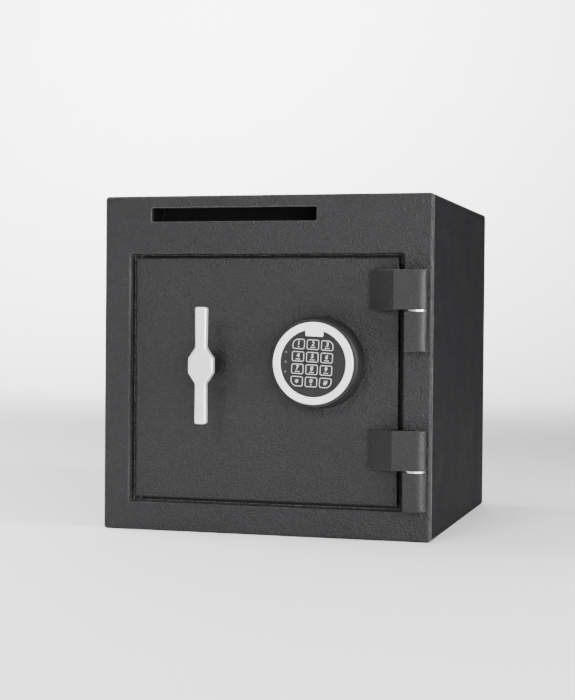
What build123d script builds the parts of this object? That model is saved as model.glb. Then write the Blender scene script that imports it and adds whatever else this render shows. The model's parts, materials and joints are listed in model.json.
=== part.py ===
"""Front-loading depository safe: a welded 14 in steel cube with a deposit slot over a swinging door.

Frame: +Z up, the front faces -Y, +X is on the right as one faces the safe, and the origin is the
centre of the floor plate's underside.  Depths are counted from the front face, into the safe.
The door is shut, its locking bolts are drawn back and its handle stands upright.
"""
from build123d import *
import math
import os

os.makedirs("parts", exist_ok=True)

# ---------------------------------------------------------------- driving dimensions, mm
SIDE = 355.6                     # width, depth and height of the body: 14 in
HALF = SIDE / 2
WALL = 4.0                       # side, top, floor and back plates
FACE = 6.0                       # front frame plate
LONG_EDGE = 3.5                  # rounding of the body's long outer edges
FACE_EDGE = 3.0                  # rounding round the front face and the door opening

OPEN_X = (-148.1, 147.3)         # door opening in the front frame
OPEN_Z = (31.0, 293.4)
DOOR_X = (-143.2, 142.3)         # door plate
DOOR_Z = (35.3, 290.2)
DOOR_FRONT, DOOR_BACK = 4.0, 12.0
SLOT_X = (-124.9, 55.6)          # deposit slot
SLOT_Z = (328.4, 342.7)
ANCHOR_PITCH, ANCHOR_R = 200.0, 6.5

PIN_X, PIN_DEPTH, PIN_R = 166.0, -8.4, 4.0      # hinge line
BARREL_R = 8.0
KNUCKLE_LEFT = 151.8             # flat left side of the block that is welded to the frame
KNUCKLE_MID = (KNUCKLE_LEFT + PIN_X + BARREL_R) / 2
STRAP_X, STRAP_BEND, STRAP_T = 112.7, 140.7, 5.0
STRAPS_Z = {"upper": (236.9, 277.5), "lower": (73.9, 114.3)}
KNUCKLES_Z = {"upper": (194.5, 234.9), "lower": (32.8, 72.0)}

AXIS_X, AXIS_Z = -56.2, 177.6    # handle spindle
SPINDLE_R, CRANK_R = 6.0, 13.0   # crank radius, from 45 degrees right to 45 degrees left of upright
HANDLE_FRONT, HANDLE_BACK = -40.0, -31.0
BOLTS_Z = (92.0, 164.0, 236.0)
BOLT_R, BOLT_DEPTH, BOLT_TIP = 9.0, 28.0, -136.0
WEB = (22.0, 26.0)               # depth of the bolt carriage's web
RAMP_X, RAMP_Z, RAMP_SLOPE = 52.0, 142.0, 0.5   # top of the ramp that lets the lock bolt drop
LOCK_X, LOCK_Z, LOCK_BACK = (30.0, 92.0), (146.0, 222.0), 36.0
LOCK_FLOOR = DOOR_BACK + 2.5
COVER_X, COVER_Z, COVER_BACK, SHEET = (-126.0, 112.0), (56.0, 272.0), 60.0, 1.5

PAD_X, PAD_Z, PAD_TURN = 59.7, 181.3, 2.75      # keypad centre, and its turn, clockwise, in degrees
PAD_R, RING_R, PANEL_R = 46.1, 42.1, 34.5
DECK, RING_TOP, PANEL_TOP, KEY_TOP = 27.0, 30.2, 28.5, 29.4   # heights above the door plate
KEY_W, KEY_H, KEY_PITCH_U, KEY_PITCH_V, KEYS_U = 13.4, 10.9, 15.05, 12.7, -0.8
KEY_GAP, KEY_CORNER, KEY_BIG_CORNER = 0.25, 1.6, 6.2
BOARD = (21.2, 22.4)             # circuit board under the keys
KEY_NAMES = (("1", "2", "3"), ("4", "5", "6"), ("7", "8", "9"), ("star", "0", "hash"))
CABLE_V, CABLE_R = 14.0, 2.0     # keypad lead, above the keypad's centre
BATTERY = (26.5, 48.5, 17.5)


# ---------------------------------------------------------------- shared shapes
def y_at(depth):
    """The Y coordinate of a depth behind the front face."""
    return depth - HALF


def block(x, depth, z):
    """A box from three (low, high) pairs."""
    size = [b - a for a, b in (x, depth, z)]
    centre = ((x[0] + x[1]) / 2, y_at((depth[0] + depth[1]) / 2), (z[0] + z[1]) / 2)
    return Pos(*centre) * Box(*size)


def rod_y(x, z, radius, depth):
    """A round bar that runs front to back."""
    middle = y_at((depth[0] + depth[1]) / 2)
    return Pos(x, middle, z) * Rot(90, 0, 0) * Cylinder(radius, depth[1] - depth[0])


def rod_x(depth, z, radius, x):
    """A round bar that runs from left to right."""
    return Pos((x[0] + x[1]) / 2, y_at(depth), z) * Rot(0, 90, 0) * Cylinder(radius, x[1] - x[0])


def rod_z(x, depth, radius, z):
    """An upright round bar."""
    return Pos(x, y_at(depth), (z[0] + z[1]) / 2) * Cylinder(radius, z[1] - z[0])


def prism_xz(points, depth):
    """A plate cut to an outline seen from the front."""
    face = make_face(Polyline(*[(x, y_at(depth[0]), z) for x, z in points], close=True))
    return extrude(face, amount=depth[1] - depth[0], dir=(0, 1, 0))


def prism_yz(points, x):
    """A bar with an outline seen from the side; the points are (depth, z)."""
    face = make_face(Polyline(*[(x[0], y_at(d), z) for d, z in points], close=True))
    return extrude(face, amount=x[1] - x[0], dir=(1, 0, 0))


def prism_xy(points, z):
    """A bar with an outline seen from above; the points are (x, depth)."""
    face = make_face(Polyline(*[(x, y_at(d), z[0]) for x, d in points], close=True))
    return extrude(face, amount=z[1] - z[0], dir=(0, 0, 1))


def shrink(pair, by):
    return pair[0] + by, pair[1] - by


def edges_along(part, axis, *corners):
    """The edges parallel to an axis, or those of them that pass near the (first, second) corners."""
    edges = part.edges().filter_by(axis)
    if not corners:
        return edges
    names = {Axis.X: ("Y", "Z"), Axis.Y: ("X", "Z"), Axis.Z: ("X", "Y")}[axis]
    keep = []
    for edge in edges:
        mid = edge.center()
        place = [getattr(mid, name) for name in names]
        if any(math.dist(place, corner) < 0.1 for corner in corners):
            keep.append(edge)
    return keep


parts = {}


# ---------------------------------------------------------------- welded body
def make_front_frame():
    plate = block((-HALF, HALF), (0, FACE), (0, SIDE))
    plate = fillet(edges_along(plate, Axis.Y), LONG_EDGE)
    plate = fillet(plate.faces().sort_by(Axis.Y)[0].edges(), FACE_EDGE)
    opening = block(OPEN_X, (-1, FACE + 1), OPEN_Z)
    slot = block(SLOT_X, (-1, FACE + 1), SLOT_Z)
    plate -= fillet(edges_along(opening, Axis.Y), 1.5)
    plate -= fillet(edges_along(slot, Axis.Y), 1.0)
    rims = plate.faces().sort_by(Axis.Y)[0].inner_wires().sort_by(SortBy.LENGTH)
    plate = fillet(rims[-1].edges(), FACE_EDGE - 0.5)
    rims = plate.faces().sort_by(Axis.Y)[0].inner_wires().sort_by(SortBy.LENGTH)
    return fillet(rims[0].edges(), 0.8)


def make_shell():
    inner = SIDE - WALL
    for name, side in (("left_wall", -1), ("right_wall", 1)):
        faces = sorted((side * HALF, side * (HALF - WALL)))
        wall = block(faces, (FACE, inner), (0, SIDE))
        corners = [(side * HALF, 0), (side * HALF, SIDE)]
        parts[name] = fillet(edges_along(wall, Axis.Y, *corners), LONG_EDGE)
    between = (-HALF + WALL, HALF - WALL)
    parts["top_plate"] = block(between, (FACE, inner), (inner, SIDE))
    floor = block(between, (FACE, inner), (0, WALL))
    for sx in (-1, 1):
        for sy in (-1, 1):
            hole = Pos(sx * ANCHOR_PITCH / 2, sy * ANCHOR_PITCH / 2, WALL / 2)
            floor -= hole * Cylinder(ANCHOR_R, 2 * WALL)
    parts["floor_plate"] = floor
    back = block((-HALF, HALF), (inner, SIDE), (0, SIDE))
    back = fillet(edges_along(back, Axis.Y), LONG_EDGE)
    parts["back_wall"] = fillet(back.faces().sort_by(Axis.Y)[-1].edges(), 1.2)


def make_jambs():
    """Angle strips behind the opening: the door plate's rim stops on their inward lips."""
    leg, lip, reach = (FACE, 17.0), (13.0, 17.0), 8.0
    left, right = OPEN_X
    low, high = OPEN_Z
    parts["latch_jamb"] = (
        block((left - WALL, left), leg, OPEN_Z) + block((left - WALL, left + reach), lip, OPEN_Z)
    )
    across = (left + reach, right)
    parts["top_jamb"] = (
        block((left - WALL, right), leg, (high, high + WALL)) + block(across, lip, (high - reach, high))
    )
    parts["bottom_jamb"] = (
        block((left - WALL, right), leg, (low - WALL, low)) + block(across, lip, (low, low + reach))
    )


def make_deposit_chute():
    """A sloping tray behind the slot, and a toothed plate that hangs over it against fishing."""
    left, right, deep = SLOT_X[0] - 8, SLOT_X[1] + 8, 62.0
    floor_front, floor_back, top = 327.0, 288.0, SIDE - WALL
    tip = 316.0
    tray = prism_yz(
        [(FACE, floor_front - SHEET), (FACE, floor_front), (deep, floor_back), (deep, floor_back - SHEET)],
        (left, right),
    )
    cheek = [(FACE, floor_front - SHEET), (deep, floor_back - SHEET), (deep, top), (FACE, top)]
    tray += prism_yz(cheek, (left, left + SHEET))
    tray += prism_yz(cheek, (right - SHEET, right))
    parts["deposit_chute"] = tray

    inside = (left + SHEET + 0.5, right - SHEET - 0.5)
    baffle = prism_yz([(56, top), (58, top), (48, tip), (46, tip)], inside)
    teeth = 18
    pitch = (inside[1] - inside[0]) / teeth
    for i in range(teeth):
        x = inside[0] + i * pitch
        notch = [(x, tip - 1), (x + pitch / 2, tip + 6), (x + pitch, tip - 1)]
        baffle -= prism_xz(notch, (40, 60))
    parts["anti_fishing_baffle"] = baffle


def make_hinges():
    pins, washers = [], []
    slope = math.atan2(-(PIN_DEPTH - BARREL_R), STRAP_BEND - STRAP_X)
    outer = PIN_DEPTH - BARREL_R
    foot = STRAP_X + STRAP_T / math.sin(slope) - (DOOR_FRONT / math.tan(slope))
    for level in ("upper", "lower"):
        z = STRAPS_Z[level]
        outline = [
            (STRAP_X, DOOR_FRONT), (STRAP_X, 0), (STRAP_BEND, outer), (PIN_X, outer),
            (PIN_X, outer + STRAP_T), (STRAP_BEND + STRAP_T * math.tan(slope / 2), outer + STRAP_T),
            (foot, DOOR_FRONT),
        ]
        strap = prism_xy(outline, z) + rod_z(PIN_X, PIN_DEPTH, BARREL_R, z)
        strap -= rod_z(PIN_X, PIN_DEPTH, PIN_R + 0.05, z)
        window = block((STRAP_X, PIN_X + 2 * BARREL_R), (-30, 10), z)
        ends = [(STRAP_X, z[0]), (STRAP_X, z[1])]
        parts["hinge_strap_" + level] = strap & fillet(edges_along(window, Axis.Y, *ends), 3.0)

        z = KNUCKLES_Z[level]
        knuckle = block((KNUCKLE_LEFT, PIN_X), (outer, 0), z)
        knuckle += block((PIN_X, PIN_X + BARREL_R), (PIN_DEPTH, 0), z)
        knuckle += rod_z(PIN_X, PIN_DEPTH, BARREL_R, z)
        parts["hinge_knuckle_" + level] = knuckle - rod_z(PIN_X, PIN_DEPTH, PIN_R, (z[0] + 3, z[1]))

        pins.append(rod_z(PIN_X, PIN_DEPTH, PIN_R, (z[0] + 3, STRAPS_Z[level][1] - 0.5)))
        gap = (z[1], STRAPS_Z[level][0] - 0.1)
        plate = rod_z(KNUCKLE_MID, -7.6, 10.0, gap) & block((150, 180), (-20, -0.3), gap)
        washers.append(plate - rod_z(PIN_X, PIN_DEPTH, PIN_R, gap))
    parts["hinge_pins"] = Compound(children=pins)
    parts["hinge_washers"] = Compound(children=washers)


# ---------------------------------------------------------------- door and boltwork
def pad_place(u, v, height):
    """A place on the keypad: right, up and out from its centre, turned as the keypad is."""
    turn = math.radians(PAD_TURN)
    x = PAD_X + u * math.cos(turn) + v * math.sin(turn)
    z = PAD_Z - u * math.sin(turn) + v * math.cos(turn)
    return Vector(x, y_at(DOOR_FRONT - height), z)


PAD_FRAME = Location(pad_place(0, 0, 0), (90, 0, 0)) * Location((0, 0, 0), (0, 0, -PAD_TURN))
KEYPAD_SCREWS = ((-34.0, 14.0), (34.0, 14.0))


def make_door_plate():
    plate = block(DOOR_X, (DOOR_FRONT, DOOR_BACK), DOOR_Z)
    plate = fillet(edges_along(plate, Axis.Y), 2.0)
    plate = fillet(plate.faces().sort_by(Axis.Y)[0].edges(), 0.8)
    through = (DOOR_FRONT - 1, DOOR_BACK + 1)
    plate -= rod_y(AXIS_X, AXIS_Z, 8.0, through)
    lead = pad_place(0, CABLE_V, 0)
    plate -= rod_y(lead.X, lead.Z, CABLE_R + 1.0, through)
    for u, v in KEYPAD_SCREWS:
        hole = pad_place(u, v, 0)
        plate -= rod_y(hole.X, hole.Z, 2.0, through)
    return plate


def make_dead_bar():
    """The fixed bar that hooks behind the frame on the hinge side."""
    hook = [(116, DOOR_BACK), (140, DOOR_BACK), (140, 14.5), (156, 14.5), (156, 22), (116, 22)]
    return prism_xy(hook, (40.2, 284.6))


def make_bolt_guide():
    span = (BOLTS_Z[0] - 18, BOLTS_Z[-1] + 18)
    guide = block((-132, -127), (DOOR_BACK, 44), span)
    for z in BOLTS_Z:
        guide -= rod_x(BOLT_DEPTH, z, BOLT_R + 0.3, (-133, -126))
    return guide


COVER_POSTS = [(x, z) for x in (-112.0, 99.0) for z in (64.5, 263.5)]


def make_boltwork_cover():
    pan = block(COVER_X, (DOOR_BACK, COVER_BACK), COVER_Z)
    pan = fillet(edges_along(pan, Axis.Y), 5.0)
    pan = fillet(pan.faces().sort_by(Axis.Y)[-1].edges(), 2.5)
    hollow = block(shrink(COVER_X, SHEET), (DOOR_BACK - 1, COVER_BACK - SHEET), shrink(COVER_Z, SHEET))
    pan -= fillet(edges_along(hollow, Axis.Y), 3.5)
    for z in BOLTS_Z:
        pan -= rod_x(BOLT_DEPTH, z, BOLT_R + 0.6, (COVER_X[0] - 1, COVER_X[0] + 3))
    posts, screws = [], []
    for x, z in COVER_POSTS:
        pan -= rod_y(x, z, 2.0, (50, 61))
        post = rod_y(x, z, 4.5, (DOOR_BACK, COVER_BACK - SHEET))
        posts.append(post - rod_y(x, z, 2.0, (46, COVER_BACK)))
        head = fillet(rod_y(x, z, 3.8, (COVER_BACK, COVER_BACK + 2.4)).edges().sort_by(Axis.Y)[-1], 1.2)
        head -= block((x - 3, x + 3), (COVER_BACK + 1.4, 64), (z - 0.5, z + 0.5))
        head -= block((x - 0.5, x + 0.5), (COVER_BACK + 1.4, 64), (z - 3, z + 3))
        screws.append(head + rod_y(x, z, 2.0, (47, COVER_BACK)))
    parts["boltwork_cover"] = pan
    parts["cover_posts"] = Compound(children=posts)
    parts["cover_screws"] = Compound(children=screws)


def ramp_top(x):
    """Height of the carriage arm's ramp."""
    return RAMP_Z - RAMP_SLOPE * (x - RAMP_X)


STUDS = [(-34.0, 154.0), (-34.0, 202.0)]


def make_bolt_carriage():
    """Flange with the bolts, web with the crank's upright slot, and an arm with the lock's ramp."""
    throw = 2 * CRANK_R * math.sin(math.radians(45))
    flange_x = (-104.0, -100.0)
    flange_z = (BOLTS_Z[0] - 14, BOLTS_Z[-1] + 14)
    carriage = block(flange_x, (14, 42), flange_z)
    ramp_end = 84.0
    outline = [
        (flange_x[1], 122), (92, 122), (92, ramp_top(ramp_end)), (ramp_end, ramp_top(ramp_end)),
        (RAMP_X, RAMP_Z), (-18, RAMP_Z), (-18, 214), (flange_x[1], 214),
    ]
    carriage += prism_xz(outline, WEB)
    pin_x = AXIS_X + throw / 2
    lowest, highest = AXIS_Z + throw / 2, AXIS_Z + CRANK_R
    half = 4.6
    slot = block((pin_x - half, pin_x + half), shrink(WEB, -1), (lowest, highest))
    slot += rod_y(pin_x, lowest, half, shrink(WEB, -1)) + rod_y(pin_x, highest, half, shrink(WEB, -1))
    carriage -= slot
    for x, z in STUDS:
        near, far = x, x + throw
        groove = block((near, far), shrink(WEB, -1), (z - 3.3, z + 3.3))
        groove += rod_y(near, z, 3.3, shrink(WEB, -1)) + rod_y(far, z, 3.3, shrink(WEB, -1))
        carriage -= groove
    bolts, screws = [], []
    for z in BOLTS_Z:
        bolt = rod_x(BOLT_DEPTH, z, BOLT_R, (BOLT_TIP, flange_x[0]))
        bolt = chamfer(bolt.edges().sort_by(Axis.X)[0], 1.5)
        bolts.append(bolt - rod_x(BOLT_DEPTH, z, 3.0, (-116, -103)))
        carriage -= rod_x(BOLT_DEPTH, z, 3.0, (-105, -99))
        carriage -= rod_x(BOLT_DEPTH, z, 5.5, (flange_x[1], -95))
        screw = rod_x(BOLT_DEPTH, z, 3.0, (-115, flange_x[1])) + rod_x(BOLT_DEPTH, z, 5.0, (-100, -96))
        socket = extrude(Plane(origin=(-96, y_at(BOLT_DEPTH), z), z_dir=(-1, 0, 0)) * RegularPolygon(2.9, 6), 2.4)
        screws.append(screw - socket)
    parts["bolt_carriage"] = carriage
    parts["locking_bolts"] = Compound(children=bolts)
    parts["bolt_screws"] = Compound(children=screws)
    studs = []
    for x, z in STUDS:
        shank = rod_y(x, z, 3.0, (DOOR_BACK, WEB[1] + 0.6))
        studs.append(shank + rod_y(x, z, 5.5, (DOOR_BACK, WEB[0] - 0.6)) + rod_y(x, z, 5.5, (26.6, 29)))
    parts["carriage_studs"] = Compound(children=studs)


def make_lock():
    low_x, high_x = LOCK_X
    case = block(LOCK_X, (DOOR_BACK, LOCK_BACK), LOCK_Z)
    case = fillet(edges_along(case, Axis.Y), 4.0)
    case -= block(shrink(LOCK_X, 2.5), (LOCK_FLOOR, LOCK_BACK + 1), shrink(LOCK_Z, 3.0))
    corners = [(x, z) for x in (low_x + 5.5, high_x - 5.5) for z in (LOCK_Z[0] + 6, LOCK_Z[1] - 6)]
    lid = fillet(edges_along(block(LOCK_X, (LOCK_BACK, LOCK_BACK + 2.5), LOCK_Z), Axis.Y), 4.0)
    screws = []
    for x, z in corners:
        case += rod_y(x, z, 3.5, (DOOR_BACK + 1, LOCK_BACK))
        case -= rod_y(x, z, 1.5, (26, LOCK_BACK + 1))
        lid -= rod_y(x, z, 1.5, (LOCK_BACK - 1, LOCK_BACK + 4))
        head = rod_y(x, z, 2.8, (LOCK_BACK + 2.5, LOCK_BACK + 4.5))
        head -= block((x - 2.2, x + 2.2), (LOCK_BACK + 3.6, LOCK_BACK + 5), (z - 0.4, z + 0.4))
        screws.append(head + rod_y(x, z, 1.5, (27, LOCK_BACK + 2.5)))
    bolt_x, bolt_depth = (55.0, 65.0), (19.0, 29.0)
    case -= block(shrink(bolt_x, -0.3), shrink(bolt_depth, -0.3), (LOCK_Z[0] - 1, LOCK_Z[0] + 4))
    lead = pad_place(0, CABLE_V, 0)
    case -= rod_y(lead.X, lead.Z, CABLE_R + 0.5, (DOOR_BACK - 1, DOOR_BACK + 4))
    parts["lock_case"] = case
    parts["lock_lid"] = lid
    parts["lock_screws"] = Compound(children=screws)

    clearance = 0.35
    tip = [(x, ramp_top(x) + clearance) for x in bolt_x]
    bolt = prism_xz(tip + [(bolt_x[1], 172), (bolt_x[0], 172)], bolt_depth)
    bolt -= rod_x(24, 164, 2.8, (62, 66))
    parts["lock_bolt"] = bolt
    coil = rod_x(24, 164, 7.5, (69, 88)) + rod_x(24, 164, 2.4, (66, 69))
    parts["lock_solenoid"] = coil + block((67.6, 69), (16, 32), (156, 172))
    parts["keypad_lead"] = rod_y(lead.X, lead.Z, CABLE_R, (DOOR_FRONT - BOARD[0], LOCK_FLOOR + 4))


# ---------------------------------------------------------------- handle
def make_handle():
    bar, tip, hub, half_hub, taper, length = 5.8, 6.2, 13.4, 7.6, 18.6, 60.3
    quarter = [(hub, half_hub), (bar, taper), (tip, length)]
    outline = quarter + [(-u, v) for u, v in reversed(quarter)]
    outline += [(-u, -v) for u, v in quarter] + [(u, -v) for u, v in reversed(quarter)]
    grip = prism_xz([(AXIS_X + u, AXIS_Z + v) for u, v in outline], (HANDLE_FRONT, HANDLE_BACK))
    hub_corners = [(AXIS_X + su * hub, AXIS_Z + sv * half_hub) for su in (-1, 1) for sv in (-1, 1)]
    grip = fillet(edges_along(grip, Axis.Y, *hub_corners), 3.6)
    necks = [(AXIS_X + su * bar, AXIS_Z + sv * taper) for su in (-1, 1) for sv in (-1, 1)]
    grip = fillet(edges_along(grip, Axis.Y, *necks), 8.0)
    ends = [(AXIS_X + su * tip, AXIS_Z + sv * length) for su in (-1, 1) for sv in (-1, 1)]
    grip = fillet(edges_along(grip, Axis.Y, *ends), 2.6)
    grip = fillet(grip.faces().sort_by(Axis.Y)[0].edges(), 2.0)
    grip = fillet(grip.faces().sort_by(Axis.Y)[-1].edges(), 2.2)
    grip += rod_y(AXIS_X, AXIS_Z, 9.5, (HANDLE_BACK - 1, -24.0))
    parts["handle_grip"] = grip - rod_y(AXIS_X, AXIS_Z, SPINDLE_R, (-36, -23))
    parts["handle_spindle"] = rod_y(AXIS_X, AXIS_Z, SPINDLE_R, (-36, 20)) - rod_y(AXIS_X, AXIS_Z, 2.0, (9, 21))

    collar = rod_y(AXIS_X, AXIS_Z, 13.0, (1.0, DOOR_FRONT)) + rod_y(AXIS_X, AXIS_Z, 10.0, (-23.4, DOOR_FRONT))
    collar = chamfer(collar.edges().sort_by(Axis.Y)[0], 1.0)
    parts["handle_collar"] = collar - rod_y(AXIS_X, AXIS_Z, SPINDLE_R + 0.6, (-24, DOOR_FRONT + 1))
    bush = rod_y(AXIS_X, AXIS_Z, 8.0, (DOOR_FRONT, DOOR_BACK)) + rod_y(AXIS_X, AXIS_Z, 12.0, (DOOR_BACK, 13.6))
    parts["spindle_bush"] = bush - rod_y(AXIS_X, AXIS_Z, SPINDLE_R + 0.05, (DOOR_FRONT, 13.6))

    crank = rod_y(AXIS_X, AXIS_Z, 19.0, (14.2, 20)) - rod_y(AXIS_X, AXIS_Z, SPINDLE_R, (14, 21))
    swing = math.radians(45)
    crank += rod_y(AXIS_X + CRANK_R * math.cos(swing), AXIS_Z + CRANK_R * math.sin(swing), 4.0, (18, 28))
    parts["crank_disc"] = crank
    screw = rod_y(AXIS_X, AXIS_Z, 2.0, (9, 20)) + rod_y(AXIS_X, AXIS_Z, 7.6, (20, 21.4))
    screw -= block((AXIS_X - 4, AXIS_X + 4), (20.6, 22), (AXIS_Z - 0.5, AXIS_Z + 0.5))
    parts["crank_screw"] = screw


# ---------------------------------------------------------------- keypad
def pad_solid(shape):
    """Carry a shape drawn as (right, up, out) into its place on the door."""
    return PAD_FRAME * shape


def pad_box(u, v, height):
    size = [b - a for a, b in (u, v, height)]
    return Pos(*[(a + b) / 2 for a, b in (u, v, height)]) * Box(*size)


def disc(radius, height, u=0.0, v=0.0):
    return Pos(u, v, (height[0] + height[1]) / 2) * Cylinder(radius, height[1] - height[0])


def turned(profile):
    """A ring from (radius, height) points turned about the keypad's axis."""
    face = make_face(Polyline(*[(r, 0, h) for r, h in profile], close=True))
    return revolve(face, Axis.Z)


def key_prism(row, column, grow, height):
    """A key, or its hole when it grows; the four outer corners of the block are swept off."""
    width, tall = KEY_W + 2 * grow, KEY_H + 2 * grow
    u = KEYS_U + (column - 1) * KEY_PITCH_U
    v = (1.5 - row) * KEY_PITCH_V
    prism = pad_box((u - width / 2, u + width / 2), (v - tall / 2, v + tall / 2), height)
    big = None
    if row in (0, 3) and column in (0, 2):
        big = (u + (column - 1) * width / 2, v + (1 if row == 0 else -1) * tall / 2)
    for edge in list(edges_along(prism, Axis.Z)):
        mid = edge.center()
        corner = (mid.X, mid.Y)
        radius = KEY_BIG_CORNER if big and math.dist(corner, big) < 0.1 else KEY_CORNER
        prism = fillet(edges_along(prism, Axis.Z, corner), radius + grow)
    return prism


def make_keypad():
    base = disc(43.0, (0, 1.6))
    lead_hole = disc(CABLE_R + 0.6, (-1, 3), 0, CABLE_V)
    base -= lead_hole
    screws = []
    for u, v in KEYPAD_SCREWS:
        base -= disc(2.0, (-1, 2), u, v)
        head = disc(3.6, (1.6, 3.8), u, v) - pad_box((u - 2.6, u + 2.6), (v - 0.45, v + 0.45), (2.8, 4))
        screws.append(pad_solid(head + disc(2.0, (-7.6, 1.6), u, v)))
    for side in (-1, 1):
        base += pad_box(sorted((side * 15.4, side * 17.0)), (-38, 9), (1.6, 9))
    parts["keypad_base"] = pad_solid(base)
    parts["keypad_screws"] = Compound(children=screws)

    rim = [(43.2, 0), (48.0, 0), (PAD_R, DECK - 2.6), (PAD_R - 1.5, DECK), (PANEL_R + 0.1, DECK),
           (PANEL_R + 0.1, DECK - 2), (43.2, DECK - 2)]
    mouth = pad_box((-15.5, 15.5), (-52, -34), (1.7, 21.3))
    parts["keypad_housing"] = pad_solid(turned(rim) - mouth)

    ring = turned([(PANEL_R, DECK), (RING_R, DECK), (RING_R, RING_TOP), (PANEL_R, RING_TOP)])
    ring = fillet(ring.edges().filter_by(GeomType.CIRCLE).group_by(Axis.Z)[-1], 0.9)
    tab_low, tab_high = (9.0, 27.6), (10.0, 37.0)
    tab_face = make_face(Polyline(
        (-tab_low[0], tab_low[1], PANEL_TOP + 0.1), (tab_low[0], tab_low[1], PANEL_TOP + 0.1),
        (tab_high[0], tab_high[1], PANEL_TOP + 0.1), (-tab_high[0], tab_high[1], PANEL_TOP + 0.1), close=True))
    tab = extrude(tab_face, amount=RING_TOP - 0.3 - PANEL_TOP - 0.1, dir=(0, 0, 1))
    tab = fillet([e for e in tab.edges().filter_by(Axis.Z) if e.center().Y < 30], 1.2)
    parts["keypad_ring"] = pad_solid(ring + tab)

    panel = disc(PANEL_R - 0.1, (24.9, PANEL_TOP))
    panel += disc(38.0, (23.3, 24.9)) - disc(33.8, (23, 25))
    for row in range(4):
        for column in range(3):
            panel -= key_prism(row, column, KEY_GAP, (20, 30))
    leds = []
    for v in (-10.0, 0.0, 10.0):
        panel -= disc(1.1, (24, 30), -28.8, v)
        leds.append(pad_solid(disc(1.1, (24.9, PANEL_TOP + 0.3), -28.8, v)))
    parts["keypad_panel"] = pad_solid(panel)
    parts["status_leds"] = Compound(children=leds)
    parts["keypad_board"] = pad_solid(disc(40.0, BOARD))
    for row, names in enumerate(KEY_NAMES):
        for column, name in enumerate(names):
            key = key_prism(row, column, 0, (24.3, KEY_TOP))
            key = fillet(key.faces().sort_by(Axis.Z)[-1].edges(), 0.4)
            parts["key_" + name] = pad_solid(key)


def make_battery_drawer():
    width, length, thick = BATTERY
    inner, low = width / 2 + 0.25, -44.2
    floor = pad_box((-inner - 1.5, inner + 1.5), (low, 6.4), (1.9, 3.0))
    for side in (-1, 1):
        floor += pad_box(sorted((side * inner, side * (inner + 1.5))), (low, 6.4), (1.9, 12))
    floor += pad_box((-inner - 1.5, inner + 1.5), (4.9, 6.4), (1.9, 12))
    cap = pad_box((-inner - 1.5, inner + 1.5), (-52, low), (1.9, 21.0))
    skin = turned([(0, 0), (47.8, 0), (PAD_R - 0.2, DECK - 2.6), (0, DECK - 2.6)])
    cap = cap & skin
    pull = fillet(edges_along(pad_box((-2.6, 2.6), (-54.6, -45.5), (1.9, 4.9)), Axis.Z), 1.2)
    parts["battery_drawer"] = pad_solid(floor + cap + pull)
    cell = pad_box((-width / 2, width / 2), (low + 0.3, low + 0.3 + length - 2.0), (3.1, 3.1 + thick))
    cell = fillet(edges_along(cell, Axis.Y), 1.5)
    for u, radius in ((-6.35, 2.9), (6.35, 4.0)):
        snap = Pos(u, low + 0.3 + length - 1.0, 3.1 + thick / 2) * Rot(90, 0, 0) * Cylinder(radius, 2.0)
        cell += snap
    parts["battery"] = pad_solid(cell)


parts["front_frame"] = make_front_frame()
make_shell()
make_jambs()
make_deposit_chute()
make_hinges()
parts["door_plate"] = make_door_plate()
parts["dead_bar"] = make_dead_bar()
parts["bolt_guide"] = make_bolt_guide()
make_boltwork_cover()
make_bolt_carriage()
make_lock()
make_handle()
make_keypad()
make_battery_drawer()

for name, shape in parts.items():
    export_step(shape, f"parts/{name}.step")
print(len(parts), "nodes")
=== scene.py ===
"""The looks of the depository safe: materials, small visible details, light and camera.

Every length is in metres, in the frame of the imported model: +Z up, the front faces -Y.
"""
import bmesh
import bpy
import json
import math
import random
from mathutils import Matrix, Vector


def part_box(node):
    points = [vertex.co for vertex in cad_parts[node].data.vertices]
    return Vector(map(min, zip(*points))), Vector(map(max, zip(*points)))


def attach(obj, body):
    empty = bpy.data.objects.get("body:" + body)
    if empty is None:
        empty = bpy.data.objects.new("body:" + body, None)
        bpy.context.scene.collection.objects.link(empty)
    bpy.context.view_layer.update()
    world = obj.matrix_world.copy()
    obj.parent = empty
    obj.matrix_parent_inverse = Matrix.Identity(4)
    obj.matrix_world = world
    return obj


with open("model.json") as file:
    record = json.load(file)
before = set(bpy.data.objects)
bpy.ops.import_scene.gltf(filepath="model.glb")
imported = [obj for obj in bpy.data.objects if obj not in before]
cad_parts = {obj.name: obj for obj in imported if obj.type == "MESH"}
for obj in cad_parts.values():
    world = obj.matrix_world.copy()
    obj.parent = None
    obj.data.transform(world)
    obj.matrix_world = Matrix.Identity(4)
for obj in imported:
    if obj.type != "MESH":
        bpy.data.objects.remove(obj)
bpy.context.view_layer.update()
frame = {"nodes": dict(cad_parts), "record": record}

NODES = frame["nodes"]
CAD_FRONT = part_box("front_frame")[0][1]
MM = 0.001


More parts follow.
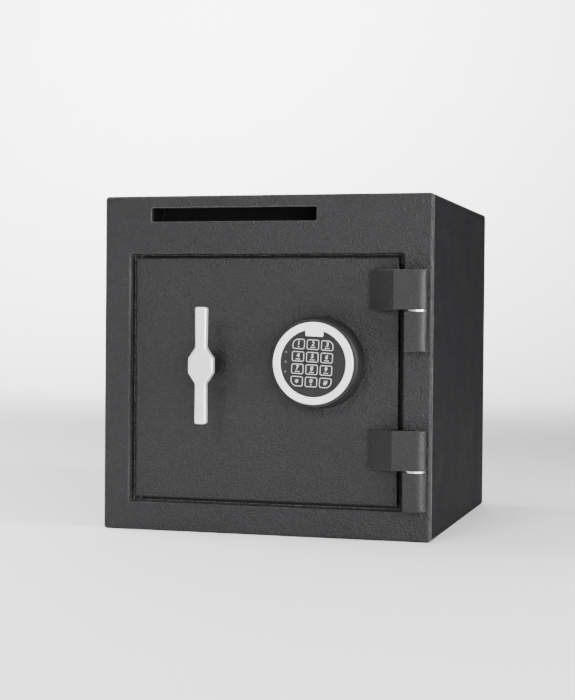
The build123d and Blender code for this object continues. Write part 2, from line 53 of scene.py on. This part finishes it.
# ---------------------------------------------------------------- node-tree helpers
class Nodes:
    """A short way to build one material's node tree."""

    def __init__(self, name):
        self.material = bpy.data.materials.new(name)
        self.material.use_nodes = True
        self.tree = self.material.node_tree
        self.tree.nodes.clear()
        self.shader = self.tree.nodes.new("ShaderNodeBsdfPrincipled")
        out = self.tree.nodes.new("ShaderNodeOutputMaterial")
        self.link(self.shader.outputs[0], out.inputs["Surface"])
        self.place = self.tree.nodes.new("ShaderNodeTexCoord").outputs["Object"]

    def link(self, a, b):
        self.tree.links.new(a, b)

    def put(self, socket, value):
        if isinstance(value, bpy.types.NodeSocket):
            self.link(value, socket)
        else:
            socket.default_value = value

    def noise(self, scale, detail=2.0, roughness=0.5, stretch=None, seed=0.0):
        node = self.tree.nodes.new("ShaderNodeTexNoise")
        node.noise_dimensions = "4D"
        node.inputs["W"].default_value = seed
        node.inputs["Scale"].default_value = scale
        node.inputs["Detail"].default_value = detail
        node.inputs["Roughness"].default_value = roughness
        self.link(self.stretched(stretch), node.inputs["Vector"])
        return node.outputs["Fac"]

    def cells(self, scale, smooth=0.6, seed=0.0):
        node = self.tree.nodes.new("ShaderNodeTexVoronoi")
        node.voronoi_dimensions = "4D"
        node.feature = "SMOOTH_F1"
        node.inputs["W"].default_value = seed
        node.inputs["Scale"].default_value = scale
        node.inputs["Smoothness"].default_value = smooth
        self.link(self.place, node.inputs["Vector"])
        return node.outputs["Distance"]

    def stretched(self, stretch):
        if stretch is None:
            return self.place
        node = self.tree.nodes.new("ShaderNodeMapping")
        node.inputs["Scale"].default_value = stretch
        self.link(self.place, node.inputs["Vector"])
        return node.outputs["Vector"]

    def math(self, kind, a, b):
        node = self.tree.nodes.new("ShaderNodeMath")
        node.operation = kind
        for socket, value in zip(node.inputs, (a, b)):
            self.put(socket, value)
        return node.outputs[0]

    def spread(self, value, low, high, to_low, to_high):
        """Maps low..high of a value to to_low..to_high, clamped."""
        node = self.tree.nodes.new("ShaderNodeMapRange")
        for socket, v in zip(node.inputs, (value, low, high, to_low, to_high)):
            self.put(socket, v)
        return node.outputs[0]

    def mix(self, factor, a, b):
        node = self.tree.nodes.new("ShaderNodeMix")
        node.data_type = "RGBA"
        self.put(node.inputs["Factor"], factor)
        self.put(node.inputs["A"], a)
        self.put(node.inputs["B"], b)
        return node.outputs["Result"]

    def rounded(self, radius, samples=8):
        """The surface's direction with its edges eased by a thick coat."""
        node = self.tree.nodes.new("ShaderNodeBevel")
        node.samples = samples
        node.inputs["Radius"].default_value = radius
        return node.outputs["Normal"]

    def bump(self, height, distance, strength=1.0, below=None):
        node = self.tree.nodes.new("ShaderNodeBump")
        node.inputs["Strength"].default_value = strength
        node.inputs["Distance"].default_value = distance
        self.link(height, node.inputs["Height"])
        if below is not None:
            self.link(below, node.inputs["Normal"])
        return node.outputs[0]

    def edge(self, radius, low=0.02, high=0.25):
        """1 on the object's edges and corners, 0 on its flats."""
        geometry = self.tree.nodes.new("ShaderNodeNewGeometry")
        dot = self.tree.nodes.new("ShaderNodeVectorMath")
        dot.operation = "DOT_PRODUCT"
        self.link(self.rounded(radius, samples=4), dot.inputs[0])
        self.link(geometry.outputs["Normal"], dot.inputs[1])
        return self.spread(self.math("SUBTRACT", 1.0, dot.outputs["Value"]), low, high, 0.0, 1.0)

    def set(self, **sockets):
        """Sets the shader's sockets and gives the finished material."""
        names = {"colour": "Base Color", "rough": "Roughness", "metal": "Metallic", "normal": "Normal",
                 "specular": "Specular IOR Level"}
        for key, value in sockets.items():
            self.put(self.shader.inputs[names[key]], value)
        return self.material


def grey(level, tint=0.0):
    """A neutral colour, a little bluer when the tint is positive."""
    return level, level, level * (1 + tint), 1.0


# ---------------------------------------------------------------- materials
CLOUDS, SPECKS, BRUSHING, SMEARS = 14, 620, 900, 60     # noise scales, per metre
COAT_EDGE, HIGHLIGHT_EDGE = 2.2 * MM, 1.6 * MM             # radii of the coat and of the painted highlight at an edge
EDGE_HIGHLIGHT_GREY = 0.34                                       # brightness of the painted edge highlight, a speckled bare-steel grey


def shades(colour, spread):
    """A darker and a lighter version of a colour."""
    return [tuple(c * factor for c in colour[:3]) + (1,) for factor in (1 - spread, 1 + spread)]


def powder_coat(name, colour, grain, height, rough, seed, shine=0.3, highlight_amount=1.0, mottle=0.4):
    """Baked textured powder coat: small soft pebbles over bare steel, with a painted highlight at the
    edges.

    grain is a pebble's width and height its relief; mottle is how far the tone strays from the colour.
    """
    n = Nodes(name)
    pebbles = n.cells(1 / grain, 0.9, seed)
    fine = n.noise(2.4 / grain, 3.0, 0.6, seed=seed)
    cloud = n.noise(CLOUDS, 3.0, 0.6, seed=seed + 3)
    relief = n.math("ADD", pebbles, n.math("MULTIPLY", fine, 0.55))
    shade = n.spread(cloud, 0.3, 0.7, 0.9, 1.1)
    pit = n.spread(relief, 0.35, 0.95, 1.4, 0.6)
    tone = n.math("MULTIPLY", shade, pit)
    body = n.mix(n.spread(tone, 0.6, 1.4, 0.0, 1.0), *shades(colour, mottle))
    # painted highlight: the edges are lightened to a speckled bare-steel grey
    specks = n.spread(n.noise(SPECKS, 3.0, 0.6, seed=seed), 0.42, 0.56, 0.2, 1.0)
    specks = n.math("MULTIPLY", specks, highlight_amount)
    edge_highlight = n.math("MULTIPLY", n.edge(HIGHLIGHT_EDGE, 0.01, 0.14), specks)
    body = n.mix(edge_highlight, body, grey(EDGE_HIGHLIGHT_GREY))
    uneven = n.math("ADD", cloud, n.math("MULTIPLY", fine, 0.6))
    gloss = n.spread(uneven, 0.5, 1.1, rough - 0.07, rough + 0.08)
    bumps = n.bump(relief, height, 1.0, n.rounded(COAT_EDGE))
    return n.set(colour=body, rough=gloss, specular=shine, normal=bumps)


def metal(name, level, rough, lines=None, seed=0.0, tint=0.0, grain=0.04 * MM, bare=1.0):
    """Plated, turned or brushed metal. lines stretches the grain along the brushing."""
    n = Nodes(name)
    brush = n.noise(BRUSHING, 4.0, 0.65, stretch=lines, seed=seed)
    smear = n.noise(SMEARS, 3.0, 0.6, seed=seed + 5)
    tone = n.mix(n.spread(smear, 0.3, 0.7, 0.0, 1.0), grey(level * 0.93, tint), grey(level, tint))
    uneven = n.math("ADD", smear, n.math("MULTIPLY", brush, 0.5))
    gloss = n.spread(uneven, 0.45, 1.05, rough - 0.05, rough + 0.07)
    return n.set(colour=tone, metal=bare, rough=gloss, normal=n.bump(brush, grain, 0.6))


def plastic(name, colour, rough, grain=0.5 * MM, seed=0.0):
    """Moulded plastic with a fine spark-eroded grain and faint handling marks."""
    n = Nodes(name)
    fine = n.noise(1 / grain, 3.0, 0.6, seed=seed)
    smear = n.noise(55, 3.0, 0.7, seed=seed + 2)
    dull = tuple(c * 0.85 for c in colour[:3]) + (1,)
    tone = n.mix(n.spread(smear, 0.3, 0.7, 0.0, 1.0), dull, colour)
    tone = n.mix(n.math("MULTIPLY", n.edge(0.5 * MM), 0.3), tone, grey(colour[0] * 1.8 + 0.004))
    gloss = n.spread(smear, 0.25, 0.75, rough - 0.05, rough + 0.07)
    return n.set(colour=tone, rough=gloss, specular=0.3, normal=n.bump(fine, 0.02 * MM, 0.5))


CHARCOAL, CHARCOAL_DOOR = (0.0095, 0.0095, 0.0108, 1.0), (0.0100, 0.0100, 0.0110, 1.0)
# the sheets' charcoal is darker than the front's, as painted shade on the sides
CHARCOAL_SHADED_SHEET, CHARCOAL_INNER = (0.0085, 0.0085, 0.0093, 1.0), (0.022, 0.022, 0.024, 1.0)
# the chute's black lacquer also darkens the strips behind the door's gap, as painted shade
LACQUER_AND_GAP_SHADE = (0.008, 0.008, 0.009, 1.0)

MATERIALS = {
    "body_paint": powder_coat(
        "textured charcoal paint", CHARCOAL, 1.9 * MM, 1.05 * MM, 0.35, 1.0, highlight_amount=0.45),
    "door_paint": powder_coat(
        "door charcoal paint", CHARCOAL_DOOR, 1.8 * MM, 1.05 * MM, 0.36, 2.0, highlight_amount=0.05),
    "hinge_paint": powder_coat(
        "hinge charcoal paint", CHARCOAL_DOOR, 1.4 * MM, 0.50 * MM, 0.35, 3.0, 0.3, 0.15),
    "chute_paint": powder_coat(
        "chute black lacquer and gap shade", LACQUER_AND_GAP_SHADE, 1.2 * MM, 0.06 * MM, 0.6, 4.5),
    "inner_paint": powder_coat(
        "inner charcoal paint", CHARCOAL_INNER, 1.2 * MM, 0.10 * MM, 0.5, 4.0),
    "satin_silver": metal("satin nickel plate", 0.86, 0.38, seed=5.0, bare=0.75),
    "ring_silver": metal("satin silver ring", 0.97, 0.42, seed=6.0, bare=0.45),
    "bare_steel": metal("turned steel", 0.62, 0.28, lines=(1, 1, 12), seed=7.0),
    "plated_steel": metal("zinc plated steel", 0.55, 0.35, seed=8.0, tint=0.04),
    "lock_zinc": metal("die-cast zinc", 0.45, 0.5, seed=9.0, grain=0.12 * MM),
    "housing_plastic": plastic("black moulded plastic", grey(0.010, 0.05), 0.42, seed=10.0),
    "panel_plastic": plastic("smoked panel plastic", grey(0.009, 0.06), 0.6, 0.8 * MM, seed=11.0),
    "key_plastic": plastic("black key plastic", grey(0.006), 0.55, seed=12.0),
    "led_lens": plastic("unlit lens", grey(0.12), 0.2, seed=13.0),
    "circuit_board": plastic("solder mask", (0.02, 0.12, 0.05, 1.0), 0.4, seed=14.0),
    "lead_jacket": plastic("cable jacket", grey(0.02), 0.5, seed=15.0),
    "battery_can": plastic("battery wrap", (0.08, 0.08, 0.1, 1.0), 0.35, seed=16.0),
    "bronze": metal("sintered bronze", 0.4, 0.45, seed=17.0),
}

# the sheets are matt and mottled, and their darker charcoal is painted shade on the sides; the strips
# behind the door's gap get the black lacquer as painted shade in the gap
SHADED_SHEET_PAINT = powder_coat(
    "shaded sheet charcoal paint", CHARCOAL_SHADED_SHEET, 2.2 * MM, 0.8 * MM, 0.6, 1.5, 0.022, mottle=0.5)
SHEETS = ("left_wall", "right_wall", "top_plate", "back_wall", "floor_plate")
# painted shade: the strips seen through the door's gap get the chute's black lacquer
GAP_SHADE_JAMBS = ("latch_jamb", "top_jamb", "bottom_jamb", "dead_bar")
NODE_PAINT = {name: SHADED_SHEET_PAINT for name in SHEETS}
NODE_PAINT.update({name: MATERIALS["chute_paint"] for name in GAP_SHADE_JAMBS})

for part in frame["record"]["subparts"]:
    mesh = NODES[part["node"]].data
    mesh.materials.clear()
    mesh.materials.append(NODE_PAINT.get(part["node"], MATERIALS[part["material_slot"]]))


# ---------------------------------------------------------------- small visible details, mm
DOOR_SURFACE = -173.8            # y of the door plate's outer face
PAD_X, PAD_Z, PAD_TURN = 59.7, 181.3, 2.75
KEY_W, KEY_H, KEY_PITCH_U, KEY_PITCH_V, KEYS_U, KEY_TOP = 13.4, 10.9, 15.05, 12.7, -0.8, 29.4
KEY_ROWS = (("1", "2", "3"), ("4", "5", "6"), ("7", "8", "9"), ("star", "0", "hash"))
GLYPHS = {"star": "*", "hash": "#"}
DIGIT_SIZE, STAR_SIZE, DASH_LENGTH, DASH_PITCH = 6.1, 8.5, 1.2, 1.7
INK_CORNER, INK_BIG_CORNER = 2.3, 6.6   # corners of the printed borders
BEAD_RADIUS, BEAD_HALF = 2.2, 14        # weld stitches


def pad_matrix():
    """From the keypad's own (right, up, out) in millimetres to the model's metres."""
    t = math.radians(PAD_TURN)
    right = Vector((math.cos(t), 0, -math.sin(t)))
    up = Vector((math.sin(t), 0, math.cos(t)))
    out = Vector((0, -1, 0))
    place = (Matrix((right, up, out)).transposed() * MM).to_4x4()
    place.translation = Vector((PAD_X, DOOR_SURFACE, PAD_Z)) * MM
    return place


PAD = pad_matrix()
MODEL = Matrix.Scale(MM, 4)


def add_piece(name, verts, faces, place, body, slot, material, smooth=False):
    """A mesh piece whose points are given in millimetres; it moves with a body."""
    mesh = bpy.data.meshes.new(name)
    mesh.from_pydata([place @ Vector(v) for v in verts], [], faces)
    bm = bmesh.new()
    bm.from_mesh(mesh)
    bmesh.ops.recalc_face_normals(bm, faces=bm.faces)
    bm.to_mesh(mesh)
    bm.free()
    for face in mesh.polygons:
        face.use_smooth = smooth
    mesh.materials.append(material)
    piece = bpy.data.objects.new(name, mesh)
    bpy.context.scene.collection.objects.link(piece)
    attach(piece, body)
    return piece


def tube(loops, closed_path=True, capped=False):
    """Verts and faces of a skin over equally long loops of points, laid one after another."""
    n, verts = len(loops[0]), [v for loop in loops for v in loop]
    faces = []
    for i in range(len(loops) if closed_path else len(loops) - 1):
        a, b = i * n, (i + 1) % len(loops) * n
        faces += [(a + j, a + (j + 1) % n, b + (j + 1) % n, b + j) for j in range(n)]
    if capped:
        faces += [tuple(range(n)), tuple(range(len(verts) - n, len(verts)))]
    return verts, faces


def rounded_box(width, tall, radii, inset, steps=5):
    """Points round a box, each corner with its own radius, from the upper right, counter-clockwise."""
    points = []
    corners = ((1, 1, 0), (-1, 1, 90), (-1, -1, 180), (1, -1, 270))
    for (su, sv, start), radius in zip(corners, radii):
        r = max(radius - inset, 0.3)
        cu, cv = su * (width / 2 - inset - r), sv * (tall / 2 - inset - r)
        for i in range(steps + 1):
            a = math.radians(start + 90 * i / steps)
            points.append((cu + r * math.cos(a), cv + r * math.sin(a)))
    return points


def glyph_mesh(letter, size, fatten, thick):
    """Points and faces of one printed character of the built-in font, centred, millimetres."""
    curve = bpy.data.curves.new("glyph", "FONT")
    curve.body, curve.size, curve.offset, curve.extrude = letter, size, fatten, thick
    curve.align_x, curve.align_y, curve.shear, curve.resolution_u = "CENTER", "CENTER", 0.12, 3
    holder = bpy.data.objects.new("glyph", curve)
    bpy.context.scene.collection.objects.link(holder)
    bpy.context.view_layer.update()
    mesh = bpy.data.meshes.new_from_object(holder.evaluated_get(bpy.context.evaluated_depsgraph_get()))
    verts = [tuple(v.co) for v in mesh.vertices]
    faces = [tuple(f.vertices) for f in mesh.polygons]
    bpy.data.objects.remove(holder)
    bpy.data.curves.remove(curve)
    bpy.data.meshes.remove(mesh)
    mid = [(min(c) + max(c)) / 2 for c in zip(*verts)]
    return [(x - mid[0], y - mid[1], z) for x, y, z in verts], faces


def joined(parts):
    """One list of points and faces from several."""
    verts, faces = [], []
    for v, f in parts:
        faces += [tuple(i + len(verts) for i in face) for face in f]
        verts += v
    return verts, faces


def shifted(part, u, v, w):
    return [(x + u, y + v, z + w) for x, y, z in part[0]], part[1]


def slab(u, v, w):
    """A thin box with its upper edges taken off, from three (low, high) pairs."""
    bevel = min(u[1] - u[0], v[1] - v[0]) * 0.2
    levels = ((0.0, w[0]), (0.0, w[1] - 0.04), (bevel, w[1]))
    loops = []
    for b, h in levels:
        left, right, low, high = u[0] + b, u[1] - b, v[0] + b, v[1] - b
        loops.append([(left, low, h), (right, low, h), (right, high, h), (left, high, h)])
    return tube(loops, closed_path=False, capped=True)


def add_key_legends(ink):
    """A printed silver border, a character and a row of small dashes on each key."""
    for row, names in enumerate(KEY_ROWS):
        for column, name in enumerate(names):
            u, v = KEYS_U + (column - 1) * KEY_PITCH_U, (1.5 - row) * KEY_PITCH_V
            radii = [INK_CORNER] * 4
            if row in (0, 3) and column != 1:
                radii[{(0, 2): 0, (0, 0): 1, (3, 0): 2, (3, 2): 3}[row, column]] = INK_BIG_CORNER
            rims = [(0.30, -0.06), (0.36, 0.10), (0.98, 0.10), (1.04, -0.06)]
            loops = [[(u + a, v + b, KEY_TOP + h) for a, b in rounded_box(KEY_W, KEY_H, radii, inset)]
                     for inset, h in rims]
            add_piece("border_" + name, *tube(loops), PAD, "key_" + name, "ring_silver", ink)
            sign = name in GLYPHS
            size = STAR_SIZE if name == "star" else DIGIT_SIZE
            letter = glyph_mesh(GLYPHS.get(name, name), size, 0.13, 0.08)
            marks = [shifted(letter, u, v + (0.2 if sign else 1.15), KEY_TOP + 0.02)]
            dashes = 0 if sign else (1 if name in "10" else 3)
            for i in range(dashes):
                mid = u + (i - (dashes - 1) / 2) * DASH_PITCH
                ends = (mid - DASH_LENGTH / 2, mid + DASH_LENGTH / 2)
                marks.append(slab(ends, (v - 3.2, v - 2.3), (KEY_TOP - 0.04, KEY_TOP + 0.1)))
            add_piece("legend_" + name, *joined(marks), PAD, "key_" + name, "ring_silver", ink)


def weld_bead(start, end, radius, toward, rng):
    """A rippled bead between two points, bulging toward the given side."""
    a, b = Vector(start), Vector(end)
    along = (b - a).normalized()
    side = Vector(toward).normalized()
    across = along.cross(side)
    steps = max(int((b - a).length / 0.9), 4)
    loops = []
    for i in range(steps + 1):
        t = i / steps
        end_fade = min(1.0, 6 * t + 0.25, 6 * (1 - t) + 0.25)
        ripple = 1 + 0.10 * math.sin(i * 2.2) + rng.uniform(-0.05, 0.05)
        r = radius * end_fade * ripple
        middle = a.lerp(b, t)
        turns = [k * math.pi / 4 for k in range(8)]
        loops.append([tuple(middle + across * r * math.cos(q) + side * r * math.sin(q)) for q in turns])
    return tube(loops, closed_path=False, capped=True)


def add_welds(paint):
    """Stitch welds where the plates of the body meet, seen with the door open."""
    rng = random.Random(3)
    wall, back, low, half, radius = 173.8, 173.8, 4.0, BEAD_HALF, BEAD_RADIUS
    beads = []
    for side in (-1, 1):
        x = side * wall
        for y in range(-120, 161, 70):
            beads.append(weld_bead((x, y - half, low), (x, y + half, low), radius, (-side, 0, 1), rng))
        for z in range(40, 300, 70):
            beads.append(weld_bead((x, back, z - half), (x, back, z + half), radius, (-side, -1, 0), rng))
    for x in range(-130, 131, 65):
        beads.append(weld_bead((x - half, back, low), (x + half, back, low), radius, (0, -1, 1), rng))
    add_piece("body_welds", *joined(beads), MODEL, "safe_body", "inner_paint", paint, smooth=True)


def silver_ink():
    """Printed silver ink, a little uneven."""
    n = Nodes("silver ink")
    worn = n.noise(BRUSHING, 3.0, 0.6, seed=21.0)
    tone = n.mix(n.spread(worn, 0.35, 0.65, 0.0, 1.0), grey(0.42), grey(0.62))
    return n.set(colour=tone, rough=n.spread(worn, 0.3, 0.7, 0.38, 0.5), specular=0.5,
                 normal=n.bump(worn, 0.01 * MM, 0.4))


add_key_legends(silver_ink())
add_welds(MATERIALS["inner_paint"])


# ---------------------------------------------------------------- camera, floor and light
CAMERA_TURN = (15.554, 1.148, 0.486)    # degrees: to the right of the front, downward, and roll
CAMERA_PLACE = (0.4633, CAD_FRONT - 1.5714, 0.2268)
CAMERA_LENS, CAMERA_SENSOR = 80.84, 36


def add_camera():
    """The viewpoint: a long lens, to the right of the front and slightly above half height."""
    yaw, pitch, roll = (math.radians(angle) for angle in CAMERA_TURN)
    ahead = Vector((-math.sin(yaw) * math.cos(pitch), math.cos(yaw) * math.cos(pitch), -math.sin(pitch)))
    right = Vector((math.cos(yaw), math.sin(yaw), 0))
    up = right.cross(ahead)
    side = right * math.cos(roll) + up * math.sin(roll)
    top = -right * math.sin(roll) + up * math.cos(roll)
    camera = bpy.data.objects.new("camera", bpy.data.cameras.new("camera"))
    bpy.context.scene.collection.objects.link(camera)
    place = Matrix((side, top, -ahead)).transposed().to_4x4()
    place.translation = Vector(CAMERA_PLACE)
    camera.matrix_world = place
    camera.data.sensor_width = CAMERA_SENSOR
    camera.data.lens = CAMERA_LENS
    camera.data.clip_end = 50
    bpy.context.scene.camera = camera


def add_light(name, place, target, size, power, spread=180):
    """An area lamp of a (width, height) aimed at a target; watts, and degrees of spread."""
    data = bpy.data.lights.new(name, "AREA")
    data.shape = "RECTANGLE"
    data.size, data.size_y = size
    data.energy = power
    data.spread = math.radians(spread)
    lamp = bpy.data.objects.new(name, data)
    bpy.context.scene.collection.objects.link(lamp)
    lamp.location = place
    lamp.rotation_mode = "QUATERNION"
    lamp.rotation_quaternion = (Vector(target) - Vector(place)).to_track_quat("-Z", "Y")


def add_stage():
    """A pale floor that curves up into a backdrop behind and to the left of the safe."""
    left, right, near, far = -8.0, 8.0, -14.0, 5.0
    edge = 0.4                   # the backdrop's right end; the floor goes on
    rise, bend, steps = 8.0, 2.5, 24
    foot = far - bend
    verts = [(left, near, 0), (right, near, 0), (right, foot, 0), (edge, foot, 0), (left, foot, 0)]
    faces = [(0, 1, 2, 3, 4)]
    angles = [math.pi / 2 * i / steps for i in range(1, steps + 1)]
    sweep = [(foot + bend * math.sin(a), bend - bend * math.cos(a)) for a in angles] + [(far, rise)]
    upper = (4, 3)
    for y, z in sweep:
        verts += [(left, y, z), (edge, y, z)]
        pair = (len(verts) - 2, len(verts) - 1)
        faces.append((*upper, pair[1], pair[0]))
        upper = pair
    mesh = bpy.data.meshes.new("studio_floor")
    mesh.from_pydata(verts, [], faces)
    for face in mesh.polygons:
        face.use_smooth = True
    floor = bpy.data.objects.new("studio_floor", mesh)
    bpy.context.scene.collection.objects.link(floor)
    n = Nodes("pale floor")
    tone = n.mix(n.noise(3, 2.0), grey(0.90), grey(0.93))
    mesh.materials.append(n.set(colour=tone, rough=0.8, specular=0.2))


def add_lights():
    middle = (0, -0.15, 0.18)
    add_light("key", (-0.45, -2.35, 1.0), middle, (0.6, 0.6), 21.5)
    add_light("softbox_right", (1.75, -1.85, 0.35), middle, (2.6, 1.5), 108)
    add_light("strip_right", (1.68, -0.40, 0.4), middle, (0.16, 1.6), 66)
    add_light("rim_top", (0.2, -1.1, 2.0), (0, -0.18, 0.35), (1.6, 0.2), 5)
    add_light("fill_low", (0.6, -2.5, 0.1), middle, (1.0, 0.3), 8)
    add_light("floor_left", (-2.1, 0.1, 1.9), (-1.9, -0.1, 0), (1.6, 1.6), 85, 120)
    add_light("floor_front", (-0.4, -1.3, 2.2), (-0.4, -0.9, 0), (1.6, 0.5), 9, 60)
    add_light("backdrop_low", (-1.8, 2.8, 4.2), (-1.8, 5.0, 0.8), (3.0, 0.8), 420, 110)
    world = bpy.data.worlds.new("studio")
    world.use_nodes = True
    world.node_tree.nodes["Background"].inputs["Color"].default_value = (1, 1, 1, 1)
    world.node_tree.nodes["Background"].inputs["Strength"].default_value = 0.08
    bpy.context.scene.world = world


add_camera()
add_stage()
add_lights()
